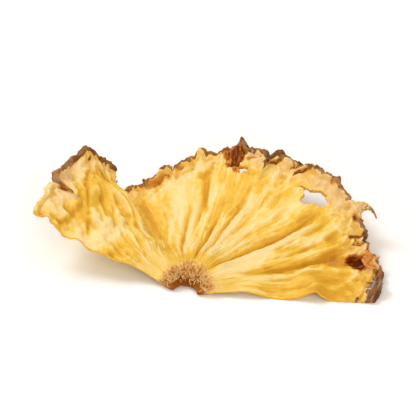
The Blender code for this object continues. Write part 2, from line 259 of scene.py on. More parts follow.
def hole_block(hole):
    """The cells that a hole takes out of the grid: first and last line each way."""
    at_angle, at_share, half_along, half_across = hole
    half_angle = math.degrees(half_along / (RADIUS * at_share))
    low, high = index_at(ANGLES, at_angle - half_angle), index_at(ANGLES, at_angle + half_angle)
    inner = index_at(SHARES, at_share - half_across / RADIUS)
    outer = index_at(SHARES, at_share + half_across / RADIUS)
    return low, high, inner, outer


def open_hole(angle, share, hole):
    """Pushes the grid lines round a hole out, so that the block's square edge becomes an oval."""
    at_angle, at_share, half_along, half_across = hole
    low, high, inner, outer = hole_block(hole)
    u = 2 * (angle - (ANGLES[low] + ANGLES[high]) / 2) / (ANGLES[high] - ANGLES[low])
    v = 2 * (share - (SHARES[inner] + SHARES[outer]) / 2) / (SHARES[outer] - SHARES[inner])
    square = np.maximum(abs(u), abs(v))
    direction = np.arctan2(v, u)
    pull = 1 - ramp(square, 1, HOLE_REACH)
    for at_direction, size in HOLE_CORNERS:
        off = np.arctan2(np.sin(direction - at_direction), np.cos(direction - at_direction))
        square = square * (1 + size * hump(off, 0, HOLE_CORNER_WIDTH))
    half_angle, half_share = np.degrees(half_along / (RADIUS * at_share)), half_across / RADIUS
    oval_angle = at_angle + half_angle * np.cos(direction) * square
    oval_share = at_share + half_share * np.sin(direction) * square
    return angle + (oval_angle - angle) * pull, share + (oval_share - share) * pull


def lobe_shape(angle):
    """How far the notches between the peel's lobes cut in, and the tilt of the lobes."""
    notches, depths = np.array(NOTCHES, float).T
    i = np.clip(np.searchsorted(notches, angle, side="right") - 1, 0, len(notches) - 2)
    t = np.clip((angle - notches[i]) / (notches[i + 1] - notches[i]), 0, 1)
    arch = np.sin(math.pi * t)
    depth = depths[i] + (depths[i + 1] - depths[i]) * t
    return depth * (1 - np.sqrt(arch)), arch * np.array(LOBE_TILTS)[i]


def core_lip_height(angle, share):
    start, crest, end = CORE_LIP_SHARES
    height = CORE_LIP_HEIGHT * np.sin(np.radians(angle))
    return height * ramp(share, start, crest) * (1 - ramp(share, crest, end))


def cut_wave_height(angle, share):
    height = np.zeros_like(angle)
    for at_angle, at_share, spread, lift in CUT_WAVES:
        from_cut = RADIUS * share * abs(np.sin(np.radians(angle - at_angle)))
        near = (1 - ramp(from_cut, 0, CUT_WAVE_REACH)) * (abs(angle - at_angle) < 90)
        height += lift * near * hump(share, at_share, spread)
    return height


def fibre_angle(angle, share):
    """The angle at which the fibre through this place meets the rim: fibres lean near the core."""
    lean = FIBRE_LEAN + FIBRE_LEAN_LEFT * ramp(angle, *LEFT_ANGLES)
    return angle - lean * (1 - ramp(share, *LEAN_SHARES)) * ramp(angle, *LEAN_ANGLES)


def pleat_lines(angle, share):
    """For each pleat, how many degrees beside it every point is, and its width, depth and ends."""
    fibre = fibre_angle(angle, share)
    for at_angle, *pleat in PLEATS:
        yield fibre - at_angle - PLEAT_DRIFT * np.sin(PLEAT_DRIFT_WAVES * share + at_angle), pleat


def pleat_height(angle, share):
    height = np.zeros_like(angle)
    for off, (width, depth, start, end) in pleat_lines(angle, share):
        across = np.exp(-(abs(off / width) ** PLEAT_SHARPNESS))
        starts = ramp(share, start, start + PLEAT_FADE)
        height -= depth * across * starts * (1 - ramp(share, end - PLEAT_FADE, end))
    return height


def eye_distance(angle, share, eye):
    """How far from an eye's middle each point is, as a share of the eye's radius."""
    at_angle, at_share, radius_along, radius_across = eye[:4]
    along = np.radians(angle - at_angle) * RADIUS * at_share
    return np.hypot(along / radius_along, (share - at_share) * RADIUS / radius_across)


def eye_height(angle, share):
    height = np.zeros_like(angle)
    for eye in EYES:
        distance = eye_distance(angle, share, eye)
        depth, lip = eye[4:]
        height += lip * hump(distance, *EYE_LIP) - depth * (1 - ramp(distance, *EYE_PIT))
    return height


def swell_height(angle, share):
    swell = lumps(SWELL_LAYERS, angle, share) * ramp(share, *SWELL_SHARES)
    return swell * (1 + WING_SWELL * ramp(angle, *WING_ANGLES))


def curled_surface(angle, share, lobed):
    """The slice as it curled, without its relief, as points in the part's frame."""
    knots, headings, heights, reaches = zip(*RAYS)
    curled = ramp(share, *CORE_SPREAD)
    even_heading = CORE_HEADINGS[0] + (CORE_HEADINGS[1] - CORE_HEADINGS[0]) * angle / 180
    heading = np.radians(even_heading + (through(knots, headings, angle) - even_heading) * curled)
    cut_in, tilt = lobe_shape(angle)
    at_rim = ramp(share, RIM_SHARE, 1) * lobed
    reach = RADIUS * share * (1 + (through(knots, reaches, angle) - 1) * curled) - cut_in * at_rim
    risen = (np.clip(share - RISE_START, 0, None) / (1 - RISE_START)) ** RISE_POWER
    height = through(knots, heights, angle) * risen + core_lip_height(angle, share)
    height = height + LOBE_TILT_HEIGHT * tilt * at_rim + cut_wave_height(angle, share)
    x = CORE_PLACE.x + CORE_SHIFT[0] * (1 - curled) + reach * np.cos(heading)
    y = CORE_PLACE.y + CORE_SHIFT[1] * (1 - curled) + reach * np.sin(heading)
    return np.stack((x, y, CORE_PLACE.z + height), axis=-1)


def thickness(angle, share):
    reach = RADIUS * share
    peel_start = RADIUS - PEEL_WIDTH
    in_core = 1 - ramp(reach, CORE_RADIUS - THICKNESS_BLEND, CORE_RADIUS + THICKNESS_BLEND)
    in_peel = ramp(reach, peel_start - THICKNESS_BLEND, peel_start + THICKNESS_BLEND)
    at_cut = 1 - ramp(reach * np.sin(np.radians(angle)), 0, CUT_THINNING_WIDTH)
    thick = FLESH_THICKNESS + (CORE_THICKNESS - FLESH_THICKNESS) * in_core
    thick = thick + (PEEL_HEIGHT - FLESH_THICKNESS) * in_peel
    in_fold = hump(angle, FOLD_ANGLE, FOLD_WIDTH)
    return thick * (1 - CUT_THINNING * at_cut) * (1 - FOLD_THINNING * in_fold)


def normals_of(points):
    """Upward unit normals of a grid of points: the first axis runs round, the second outwards."""
    normals = np.cross(np.gradient(points, axis=1), np.gradient(points, axis=0))
    return normals / np.linalg.norm(normals, axis=-1, keepdims=True)


# ---- The fine relief, which only the visual mesh has ----

# Layers of folds: size each way, height, seed. Those of the whole sheet follow the fibres, and
# their sizes are in degrees across and shares along.
FOLD_LAYERS = ((8, 0.5, 0.00042, 3.1), (3.6, 0.28, 0.00027, 11.7))
FOLD_SOFTNESS = 0.006
FOLD_SHARES = (0.14, 0.34)
# The same on each face alone
FINE_FOLD_LAYERS = ((1.9, 0.16, 0.00024, 23.3), (0.9, 0.1, 0.00016, 31.9))
FINE_FOLD_SOFTNESS = 0.0008
FINE_FOLD_SHARES = (0.15, 0.24)
# How many degrees the folds wander off the fibres, as ribs
FOLD_DRIFT = ((16, 3, 2.2, 5.0),)
# The folds on the wing lean away from the core: degrees for each share outwards, and where they do
WING_SLANT = 75
WING_SLANT_SHARES = (0.45, 0.65)
WING_SLANT_ANGLES = (144, 162)
# How much of the folds along the fibres the outer wing loses, and other calm places: angle, share,
# how far round and how far out they reach, and how much is lost there
WING_CALM = 0.60
CALM_PLACES = ((101, 0.68, 11, 0.3, 0.7), (30, 0.42, 6, 0.12, 0.5))
# Crumples, as lumps: how strong they are on the wing, beside the peel and elsewhere, and where
# they start
CRUMPLE_LAYERS = ((0.0050, 0.00099, 41.5), (0.0024, 0.00060, 57.2))
WING_CRUMPLING = 0.5
RIM_CRUMPLING = 0.6
RIM_CRUMPLE_SHARES = (0.70, 0.86)
CALM_CRUMPLING = 0.22
CRUMPLE_SHARES = (0.26, 0.46)
# Crumples with sharp valleys between them, on the wing: size each way, height, seed. Where they
# start, how much of them is lost beside the peel, and where.
CREASED_LAYERS = ((0.0055, 0.0055, 0.00080, 47.0), (0.0022, 0.0022, 0.00030, 53.0))
CREASED_SOFTNESS = 0.001
CREASED_SHARES = (0.40, 0.55)
CREASED_LOSS = 0.6
CREASED_LOSS_SHARES = (0.86, 0.97)
# The smallest wrinkles, as lumps, and how much stronger they are towards the peel
WRINKLE_LAYERS = ((0.0014, 0.00033, 63.0), (0.0007, 0.00015, 69.0))
WRINKLE_SHARES = (0.2, 0.4)
RIM_WRINKLING = 1.3
RIM_WRINKLE_SHARES = (0.78, 0.92)
# The crease in a pleat's middle, and the crest beside it. Depth and rise are shares of the pleat's
# depth, and start and fade are shares of the radius from the pleat's ends.
CREASE_WIDTH = 0.00030
CREASE_ROUNDING = 0.0001
CREASE_DEPTH = 0.50
CREST_PLACE = 0.0019
CREST_WIDTH = 0.0011
CREST_RISE = 0.36
CREASE_START = (-0.04, 0.08)
CREASE_FADE = 0.2
# The lip of the peel: how high and wide, and how far inside the edge its crest and its groove are
PEEL_LIP = (0.00035, 0.0006, 0.0006, 0.0018)
# The peel's roughness, as lumps, and the shares it sets in between
PEEL_ROUGHNESS = ((0.0022, 0.0003, 71), (0.001, 0.00016, 83), (0.0005, 0.00008, 97))
ROUGH_SHARES = (0.93, 0.98)
# The core's pleats and its uneven edge, as ribs, and the width of the edge's blend
CORE_PLEATS = ((2.6, 12, 0.00048, 19.0), (1.1, 12, 0.00028, 21.0))
CORE_WANDER = ((5, 6, 0.0011, 17.0), (1.6, 4, 0.0009, 18.0))
CORE_EDGE = 0.0016
# Eyes deeper than this have brown pits, with an uneven edge at these shares of the eye's radius
PIT_DEPTH = 0.0010
PIT_EDGE = (0.60, 1.30)
PIT_WANDER = ((0.0018, 0.50, 13.0), (0.0007, 0.25, 15.0))
# The lower face's own seeds are this much higher, and fine relief cuts no deeper into a face than
# this share of half its thickness
LOWER_SEED = 200.0
FINE_DEPTH = 0.6
# How high the relief stands from deep to pale colour, how much the wide pleats and the narrow
# creases tell in it, and how deep the colour may get. This colour is partly painted shade, deeper
# in the valleys and creases, and partly painted light, paler on the crests
LEVEL_RANGE = 0.0014
PLEAT_TINT = 0.45
CREASE_TINT = 1.8
LEVEL_LIMITS = (-0.7, 1)
# Patches where the flesh is paler than its relief makes it, or deeper in colour: mostly painted
# light and shade, deeper beside the wing's fold, round the core's edge and where the sheet turns
# from the light, paler where it faces the light, and partly the flesh's own tone. Angle, share, how
# far round and how far out it reaches, and how much paler
LIGHT_SHADE_AND_TONE_PATCHES = (
    (120, 0.7, 4, 0.25, -0.15), (114.5, 0.72, 2.4, 0.26, -1.1), (101, 0.66, 6, 0.2, 0.26),
    (109, 0.72, 4, 0.16, -0.22), (104, 0.5, 6, 0.11, 0.34), (84, 0.4, 5, 0.08, 0.2),
    (31, 0.4, 5, 0.08, 0.34), (20, 0.556, 3, 0.08, -0.75), (70, 0.19, 50, 0.045, -0.7),
    (48, 0.53, 8, 0.07, -0.34), (38, 0.745, 3, 0.06, -0.8), (60, 0.84, 4, 0.07, 0.2),
    (84, 0.82, 4, 0.07, -0.45), (75.5, 0.7, 5, 0.16, -0.5), (68, 0.88, 3, 0.04, -0.3),
    (52, 0.9, 3, 0.05, -0.35), (36, 0.78, 5, 0.12, -0.2), (3, 0.84, 12, 0.17, -0.55),
    (0, 0.7, 4, 0.06, -1.2), (14, 0.6, 6, 0.2, -0.2), (12, 0.76, 5, 0.06, -0.4),
    (4, 0.52, 6, 0.22, -0.6), (20.5, 0.87, 3.5, 0.09, -0.5), (28, 0.66, 4, 0.1, 0.1),
    (24, 0.56, 6, 0.08, -0.2), (31, 0.95, 4, 0.05, 0.35), (132, 0.28, 12, 0.08, -0.3),
    (129, 0.5, 7, 0.25, -0.5), (150, 0.92, 7, 0.05, 0.34), (175, 0.93, 6, 0.08, 0.3),
    (178, 0.7, 6, 0.08, 0.34), (174, 0.42, 8, 0.12, -0.45), (155, 0.74, 6, 0.09, -0.26),
    (168, 0.83, 5, 0.07, -0.36), (166, 0.62, 6, 0.08, 0.42), (149, 0.65, 4, 0.07, 0.36),
    (159, 0.53, 6, 0.06, 0.28), (149, 0.86, 5, 0.06, -0.3),
)
# The strip of peel that shows from above: angle, width in millimetres, how dark, how rosy, and how
# much of it is left
PEEL_BANDS = (
    (0, 4.3, 1, 0.1, 1), (4, 3.2, 1, 0.1, 1), (8, 1.8, 1, 0.1, 1), (11, 1.2, 0.8, 0.5, 1),
    (12.5, 0.7, 0.3, 0.9, 0.9), (16, 0.7, 0.4, 0.8, 0.9), (20, 1, 0.6, 0.5, 1),
    (22, 1.3, 0.8, 0.4, 1), (25, 1.6, 0.8, 0.4, 1), (27.5, 1.3, 0.8, 0.4, 1),
    (29, 1, 0.3, 0.9, 0.4), (33, 0.7, 0.2, 1, 0.4), (36, 1, 0.4, 0.5, 0.9),
    (41, 0.9, 0.4, 0.5, 0.9), (46, 0.9, 0.4, 0.5, 0.9), (55, 1.2, 0.6, 0.3, 1),
    (58, 0.8, 0.6, 0.2, 1), (64, 1.6, 0.7, 0.2, 1), (70, 1.5, 0.7, 0.35, 1),
    (73, 1.6, 0.7, 0.35, 1), (75, 1.3, 0.5, 0.3, 1), (76.5, 0.4, 0.1, 0, 0.6),
    (79, 0.2, 0.1, 0, 0.2), (81, 1.2, 0.2, 0.1, 1), (86, 1.3, 0.3, 0.1, 1), (92, 1.3, 0.4, 0.1, 1),
    (97, 1.2, 0.5, 0.1, 1), (101, 0.9, 0.4, 0.1, 1), (106, 0.7, 0.3, 0.1, 1), (113, 1, 0.3, 0.1, 1),
    (131, 0.8, 0.4, 0.1, 1), (138, 1.7, 0.7, 0.2, 1), (141, 2.2, 0.7, 0.2, 1),
    (144, 1.9, 0.7, 0.1, 1), (148, 1.5, 0.6, 0.2, 1), (153, 1.5, 0.6, 0.2, 1),
    (160, 1.1, 0.4, 0.4, 1), (166, 1.2, 0.5, 0.6, 1), (168, 0.4, 0.3, 0.3, 0.5),
    (171, 0.2, 0.1, 0, 0.15), (180, 0.2, 0.1, 0, 0.1),
)
# Its inner edge wanders, but less on the wing, and blends over this width
BAND_WANDER = ((0.003, 0.90, 7.0), (0.0012, 0.70, 9.0))
BAND_STEADY = 0.7
BAND_STEADY_ANGLES = (140, 146)
BAND_EDGE = (-0.0004, 0.0003)
# Marks that follow no pleat, listed one by one: width and depth in millimetres, strength, and the
# flat places (angle, share) that the mark runs through. A seam is brown and cut in, a gold mark is
# a dent of a deeper yellow, and a pale one a lighter crest.
# Some marks paint light and shade: seams paint shadow lines in gaps, under lobes and along the
# wing's fold, gold marks paint shade there too, and a pale mark paints a highlight on the tab
MARKS = {
    "seam_and_shadow": (
        (0.45, 0.5, 0.9, (66.8, 0.946), (63.2, 0.932), (62.2, 0.962), (64.8, 0.99)),
        (0.55, 0.5, 0.85, (55.8, 0.95), (53.8, 0.958), (52.2, 0.982)),
        (0.35, 0, 0.6, (51.5, 0.866), (49.4, 0.87), (45.8, 0.884), (41.5, 0.906)),
        (0.7, 0.3, 0.5, (43.5, 0.974), (42.8, 1)),
        # A crack between two lobes, its brown painted shadow
        (0.45, 0.6, 0.95, (24.8, 0.902), (23.8, 0.972), (24.5, 1)),
        (0.4, 0.2, 0.5, (23.6, 0.93), (22.6, 0.94)),
        (0.35, 0.6, 0.95, (150.2, 0.94), (150, 0.943)),
        (0.5, 0.5, 0.9, (167.5, 0.958), (166.8, 0.985)),
        (0.4, 0.3, 0.35, (158.8, 0.974), (155, 0.974)),
        # Painted shadow line under a raised lobe of the rim
        (0.6, 0.3, 0.5, (98.5, 0.975), (96.8, 0.958)),
        (1.3, 0.4, 0.42, (110, 0.975), (106, 0.96), (102.5, 0.94)),
        (0.5, 0.3, 0.3, (86.5, 0.854), (86.2, 0.924)),
        # Painted shade along the wing's fold
        (1.2, 0.4, 0.24, (115, 0.82), (114.8, 0.7), (115.5, 0.5)),
        # Painted shade beside the pit on the right
        (2, 0.6, 0.34, (18.8, 0.785), (15.6, 0.85)),
        (1.2, 0, 0.46, (77.5, 0.965), (76.5, 1)),
        (0.9, 0.2, 0.62, (142.8, 0.99), (142.2, 0.964)),
        (0.9, 0.2, 0.3, (144.5, 0.942), (144, 0.93)),
        (0.6, 0.5, 0.85, (29.8, 0.964), (27.8, 0.998), (25, 0.996)),
        (0.4, 0.3, 0.6, (20.8, 0.99), (20.2, 0.96), (21.6, 0.945)),
        (0.35, 0.4, 0.6, (84, 0.97), (81.5, 0.985), (79.5, 0.99)),
        (0.35, 0.4, 0.6, (59, 0.99), (57.5, 0.97), (58.5, 0.955)),
        (0.3, 0.2, 0.6, (73, 0.932), (71.8, 0.952), (70.6, 0.95), (69.6, 0.964)),
        (0.5, 0.2, 0.38, (12, 0.975), (8, 0.942), (4, 0.925), (0, 0.912)),
    ),
    "gold": (
        (1.2, 0.3, 0.35, (64.5, 0.8), (64.5, 0.738)),
        (0.9, 0.2, 0.35, (71.2, 0.866), (70.8, 0.86)),
        (0.8, 0.4, 0.5, (90.2, 0.828), (87, 0.848)),
        (0.7, 0.4, 0.45, (88.8, 0.812), (88, 0.726), (85.8, 0.592)),
        (0.7, 0.3, 0.4, (99, 0.94), (93.5, 0.896)),
        (0.8, 0.3, 0.3, (105, 0.8), (101.5, 0.45), (98.5, 0.15)),
        # Painted shade along the wing's fold, with no dent
        (1.1, 0, 0.6, (117.5, 0.96), (118, 0.77), (121.5, 0.54)),
        (0.6, 0.1, 0.5, (33.2, 0.878), (33, 0.872)),
        (1.2, 0.3, 0.35, (35, 0.818), (32, 0.78)),
        (2, 0.3, 0.3, (26, 0.74), (25.2, 0.848)),
        (0.9, 0.3, 0.4, (32, 0.526), (27, 0.656)),
        (0.9, 0.4, 0.45, (16.2, 0.68), (17, 0.862)),
        # Painted shade beside the pit on the right
        (1.6, 0.4, 0.7, (19, 0.77), (16, 0.85)),
        (0.8, 0.3, 0.4, (24, 0.424), (12.5, 0.652), (4.8, 0.808)),
        (2.5, 0, 0.5, (0, 0.74), (0, 0.9)),
        (0.5, 0.4, 0.7, (19.6, 0.64), (19.2, 0.722), (19.2, 0.816), (15, 0.844)),
        (1.3, 0.4, 0.6, (26.2, 0.815), (26, 0.795)),
        (0.4, 0.3, 0.6, (72.2, 0.546), (69.8, 0.642)),
        (0.6, 0.4, 0.6, (9, 0.66), (7.5, 0.804), (3.5, 0.86)),
        (0.6, 0.5, 0.55, (180, 0.966), (177.5, 0.852), (171.5, 0.81), (172, 0.868)),
        (1.1, 0.3, 0.45, (180, 0.856), (175, 0.83), (170.8, 0.814)),
        (0.8, 0.2, 0.4, (166, 0.85), (168.5, 0.766)),
        (0.65, 0.5, 0.6, (153.5, 0.892), (163, 0.774), (170.2, 0.692)),
        (0.6, 0.4, 0.55, (162.8, 0.848), (167, 0.808)),
        (0.6, 0.5, 0.5, (153.2, 0.798), (159.8, 0.646)),
        (0.45, 0.4, 0.7, (151, 0.698), (151, 0.656)),
        (0.6, 0.3, 0.4, (139.5, 0.96), (140, 0.794)),
        (0.8, 0.4, 0.55, (147.2, 0.898), (146, 0.854)),
        (0.55, 0.4, 0.45, (168.5, 0.714), (171, 0.69), (174, 0.668)),
        (0.55, 0.4, 0.45, (154.2, 0.602), (148, 0.58)),
        (0.6, 0.3, 0.35, (141.5, 0.73), (146.5, 0.532), (146.8, 0.388)),
    ),
    "pale": (
        (0.8, 0.4, 0.45, (14.5, 0.582), (15.2, 0.698), (17, 0.76), (13.2, 0.772)),
        (0.7, 0.3, 0.5, (26.8, 0.756), (27, 0.74)),
        (0.8, 0.4, 0.5, (5, 0.648), (4.5, 0.76), (9.5, 0.85)),
        # Painted highlight on the tab
        (0.8, 0.2, 0.8, (161, 0.97), (155, 0.96)),
        (1.8, 0.2, 0.45, (178.2, 0.668), (164, 0.558)),
        (1.5, 0.1, 0.4, (167.8, 0.96), (168, 0.858)),
        (0.7, 0.2, 0.8, (11.8, 0.858), (11, 0.87)),
        (1.2, 0.2, 0.35, (60.5, 0.978), (56.2, 0.992)),
        (1.6, 0.1, 0.35, (99, 0.9), (92, 0.86)),
    ),
}
# How uneven they are, as lumps
MARK_RAGGEDNESS = ((0.0015, 0.5, 35.0),)


def folds(layers, u, v, softness):
    """Rounded crests with sharper valleys between them, as cloth has: height about 0."""
    height = np.zeros_like(u)
    for across, along, tall, seed in layers:
        height += tall * (np.sqrt(grain(u / across, v / along, seed) ** 2 + softness) * 2 - 0.5)
    return height


def fibre_place(angle, share, side=0.0):
    """The coordinate across the folds: they follow the fibres, but cross the wing aslant."""
    aslant = WING_SLANT * (share - WING_SLANT_SHARES[0]) * ramp(share, *WING_SLANT_SHARES)
    drift = ribs(FOLD_DRIFT, angle, share, side)
    return fibre_angle(angle, share) + drift + aslant * ramp(angle, *WING_SLANT_ANGLES)


def patches(places, angle, share):
    """Soft round patches, added up: each is an angle, share, reach round, reach out and amount."""
    total = np.zeros_like(angle)
    for at_angle, at_share, round_reach, out_reach, amount in places:
        total += amount * hump(angle, at_angle, round_reach) * hump(share, at_share, out_reach)
    return total


def liveliness(angle, share):
    """What is left of the folds along the fibres, which the calm places have less of."""
    on_wing = WING_CALM * ramp(angle, *WING_ANGLES) * ramp(share, *WING_SLANT_SHARES)
    return (1 - on_wing) * (1 - patches(CALM_PLACES, angle, share))


def sheet_folds(angle, share):
    """The folds that bend the whole sheet: along the fibres, and crumpled on the wing and rim."""
    wing = ramp(angle, *WING_ANGLES)
    along = folds(FOLD_LAYERS, fibre_place(angle, share), share, FOLD_SOFTNESS)
    along = along * ramp(share, *FOLD_SHARES) * liveliness(angle, share)
    crumpling = np.maximum(WING_CRUMPLING * wing, RIM_CRUMPLING * ramp(share, *RIM_CRUMPLE_SHARES))
    crumpling = np.maximum(crumpling, CALM_CRUMPLING) * ramp(share, *CRUMPLE_SHARES)
    creased = folds(CREASED_LAYERS, *flat_place(angle, share), CREASED_SOFTNESS)
    creased = creased * wing * ramp(share, *CREASED_SHARES)
    creased = creased * (1 - CREASED_LOSS * ramp(share, *CREASED_LOSS_SHARES))
    return along + lumps(CRUMPLE_LAYERS, angle, share) * crumpling + creased


def fold_edges(angle, share):
    """A narrow crease down the middle of each pleat, and the rounded crest beside it."""
    height = np.zeros_like(angle)
    for off, (_, depth, start, end) in pleat_lines(angle, share):
        off = np.radians(off) * RADIUS * share
        here = ramp(share, start + CREASE_START[0], start + CREASE_START[1])
        here = here * (1 - ramp(share, end - CREASE_FADE, end))
        crease = np.exp(-np.hypot(off, CREASE_ROUNDING) / CREASE_WIDTH)
        crest = hump(off, -CREST_PLACE, CREST_WIDTH)
        height += depth * here * (CREST_RISE * crest - CREASE_DEPTH * crease)
    return height


def face_wrinkles(angle, share, side):
    """The finest folds and wrinkles, which each face has of its own."""
    fine = folds(FINE_FOLD_LAYERS, fibre_place(angle, share, side), share, FINE_FOLD_SOFTNESS)
    fine = fine * ramp(share, *FINE_FOLD_SHARES) * liveliness(angle, share)
    wrinkling = 1 + RIM_WRINKLING * ramp(share, *RIM_WRINKLE_SHARES)
    wrinkling = ramp(share, *WRINKLE_SHARES) * wrinkling
    return fine + lumps(WRINKLE_LAYERS, angle, share, side) * wrinkling


def peel_lip(share):
    tall, width, crest, groove = PEEL_LIP
    inwards = RADIUS * (1 - share)
    return tall * (hump(inwards, crest, width) - hump(inwards, groove, width))


def peel_band(angle):
    """The peel's width in metres, how dark and how rosy it is, and how much of it is left."""
    angles, *columns = zip(*PEEL_BANDS)
    width, dark, rose, left = (np.interp(angle, angles, column) for column in columns)
    return width / 1000, dark, rose, left


def peel_mask(angle, share):
    """1 on the peel, with an uneven inner edge."""
    width, _, _, left = peel_band(angle)
    wander = lumps(BAND_WANDER, angle, share) * (1 - BAND_STEADY * ramp(angle, *BAND_STEADY_ANGLES))
    inside = RADIUS * (1 - share) - width * (1 + wander)
    return left * (1 - ramp(inside, *BAND_EDGE))


def pit_mask(angle, share):
    """1 in the deep eyes, with an uneven edge."""
    mask = np.zeros_like(angle)
    wander = lumps(PIT_WANDER, angle, share)
    for eye in EYES:
        if eye[4] > PIT_DEPTH:
            mask = np.maximum(mask, 1 - ramp(eye_distance(angle, share, eye) + wander, *PIT_EDGE))
    return mask


def core_mask(angle, share):
    """1 on the core, with an uneven edge."""
    reach = RADIUS * share + ribs(CORE_WANDER, angle, share)
    return 1 - ramp(reach, CORE_RADIUS - CORE_EDGE, CORE_RADIUS)


def nearness(angle, share, places, width):
    """1 on the line through the flat places, fading to 0 to both sides."""
    x, y = flat_place(angle, share)
    nearest = np.full_like(x, np.inf)
    for start, end in zip(places, places[1:]):
        (x0, y0), (x1, y1) = flat_place(*start), flat_place(*end)
        length = (x1 - x0) ** 2 + (y1 - y0) ** 2
        t = np.clip(((x - x0) * (x1 - x0) + (y - y0) * (y1 - y0)) / length, 0, 1)
        nearest = np.minimum(nearest, np.hypot(x - x0 - t * (x1 - x0), y - y0 - t * (y1 - y0)))
    return hump(nearest, 0, width)


def marks(angle, share):
    """What the marks add to the height and to the paleness, partly painted light and shade, and how
    brown their seams and painted shadow lines are.
    """
    height, paler, seam_and_shadow = np.zeros((3, *angle.shape))
    ragged = 1 + lumps(MARK_RAGGEDNESS, angle, share)
    for kind, lines in MARKS.items():
        sign = 1 if kind == "pale" else -1
        for width, depth, strength, *places in lines:
            near = np.clip(nearness(angle, share, places, width / 1000) * ragged, 0, 1)
            height += sign * depth / 1000 * near
            if kind == "seam_and_shadow":
                seam_and_shadow = np.maximum(seam_and_shadow, strength * near)
            else:
                paler += sign * strength * near
    return height, paler, seam_and_shadow


def faces_of_sheet():
    """The upper and lower faces as grids of points, the masks of both, and the level of each."""
    angle, share = np.meshgrid(ANGLES, SHARES, indexing="ij")
    for hole in HOLES:
        angle, share = open_hole(angle, share, hole)
    curled = curled_surface(angle, share, True)
    normals = normals_of(curled_surface(angle, share, False))
    marked, paler, seam_and_shadow = marks(angle, share)
    # Painted light and shade, with some of the flesh's own tone: the paleness of the marks and
    # patches
    paler = paler + patches(LIGHT_SHADE_AND_TONE_PATCHES, angle, share)
    pleats, creases = pleat_height(angle, share), fold_edges(angle, share)
    folded = sheet_folds(angle, share) + marked
    relief = pleats + creases + folded + eye_height(angle, share) + swell_height(angle, share)
    told = PLEAT_TINT * pleats + CREASE_TINT * creases + folded
    middle = curled + normals * relief[..., None]
    half = thickness(angle, share) / 2
    core = core_mask(angle, share)
    faces, levels = [], []
    for side, sign in ((0.0, 1), (LOWER_SEED, -1)):
        fine = face_wrinkles(angle, share, side) + peel_lip(share)
        # The level is the flesh's colour from its relief, marks and patches: partly painted shade
        # in valleys and creases and painted light on crests
        levels.append(np.clip(0.5 + (sign * told + fine) / LEVEL_RANGE + paler, *LEVEL_LIMITS))
        fine = fine + ribs(CORE_PLEATS, angle, share) * core
        fine = fine + lumps(PEEL_ROUGHNESS, angle, share, side) * ramp(share, *ROUGH_SHARES)
        fine = np.maximum(fine, -FINE_DEPTH * half)
        faces.append(middle + sign * normals * (half + fine)[..., None])
    upper, lower = faces
    lower[..., 2] = np.maximum(lower[..., 2], 0)
    upper[..., 2] = np.maximum(upper[..., 2], lower[..., 2] + FLESH_THICKNESS / 2)
    _, dark, rose, left = peel_band(angle)
    given = {"share": share, "fibre": fibre_place(angle, share), "lively": liveliness(angle, share)}
    given |= {"dark": dark, "rose": rose, "left": left, "peel": peel_mask(angle, share)}
    given |= {"pit": pit_mask(angle, share), "seam_and_shadow": seam_and_shadow, "core": core}
    return upper, lower, given, levels


def placed(name, data):
    """A new object with this data, in the scene."""
    made = bpy.data.objects.new(name, data)
    bpy.context.scene.collection.objects.link(made)
    return made


def new_object(name, body):
    """The body as a smoothly shaded object."""
    mesh = bpy.data.meshes.new(name)
    body.to_mesh(mesh)
    body.free()
    mesh.shade_smooth()
    return placed(name, mesh)


def join(body, ring, after):
    """Faces between two rings of vertices."""
    for k in range(len(ring)):
        body.faces.new((ring[k - 1], ring[k], after[k], after[k - 1]))


def sheet_faces(body, upper, lower):
    """The upper and lower faces, without their holes, and what each vertex is made of.

    That is its place in the grid, 0 or 1 for the upper or the lower face, and 0 on a face, 1 in the
    wall of the edge, and up to 2 towards the tip of a bract.
    """
    top = [[body.verts.new(point) for point in line] for line in upper]
    bottom = [[body.verts.new(point) for point in line] for line in lower]
    made_of = {}
    for side, face in enumerate((top, bottom)):
        for i, line in enumerate(face):
            made_of.update({vertex: (i, j, side, 0.0) for j, vertex in enumerate(line)})
    blocks = [hole_block(hole) for hole in HOLES]
    for i in range(len(top) - 1):
        for j in range(len(top[0]) - 1):
            if any(low <= i < high and inner <= j < outer for low, high, inner, outer in blocks):
                continue
            body.faces.new((top[i][j], top[i][j + 1], top[i + 1][j + 1], top[i + 1][j]))
            body.faces.new((bottom[i + 1][j], bottom[i + 1][j + 1], bottom[i][j + 1], bottom[i][j]))
    return top, bottom, made_of


def main_sheet(upper, lower, given, levels):
    """The half ring's own mesh, closed, with its masks as attributes of its points."""
    body = bmesh.new()
    top, bottom, made_of = sheet_faces(body, upper, lower)
    edges = [edge for edge in body.edges if edge.is_boundary and made_of[edge.verts[0]][2] == 0]
    columns = {}
    for edge in edges:
        for vertex in edge.verts:
            if vertex not in columns:
                i, j = made_of[vertex][:2]
                columns[vertex] = wall_column(body, vertex, bottom[i][j], made_of)
    for bract in BRACTS:
        place, cells = round(bract[0] / 180 * SOLID_CELLS) * SPLIT, bract[1] * SPLIT
        outwards = Vector(upper[place, -1] - upper[place, -1 - BRACT_ROWS])
        outwards.z = 0
        there = [line[-1] for line in top[place - cells : place + cells + 1]]
        back = [columns[vertex][-1] for vertex in reversed(there)]
        ring = there + columns[there[-1]][1:-1] + back + columns[there[0]][-2:0:-1]
        edges = [edge for edge in edges if not set(edge.verts) <= set(there)]
        grow_bract(body, ring, outwards.normalized(), bract, made_of)
    for edge in edges:
        loop = edge.link_loops[0]
        first, second = columns[loop.vert], columns[loop.link_loop_next.vert]
        for k in range(WALL_STEPS + 1):
            body.faces.new((second[k], first[k], first[k + 1], second[k + 1]))
    for vertex in [vertex for vertex in body.verts if not vertex.link_faces]:
        body.verts.remove(vertex)
    return finished_sheet(body, made_of, given, levels)


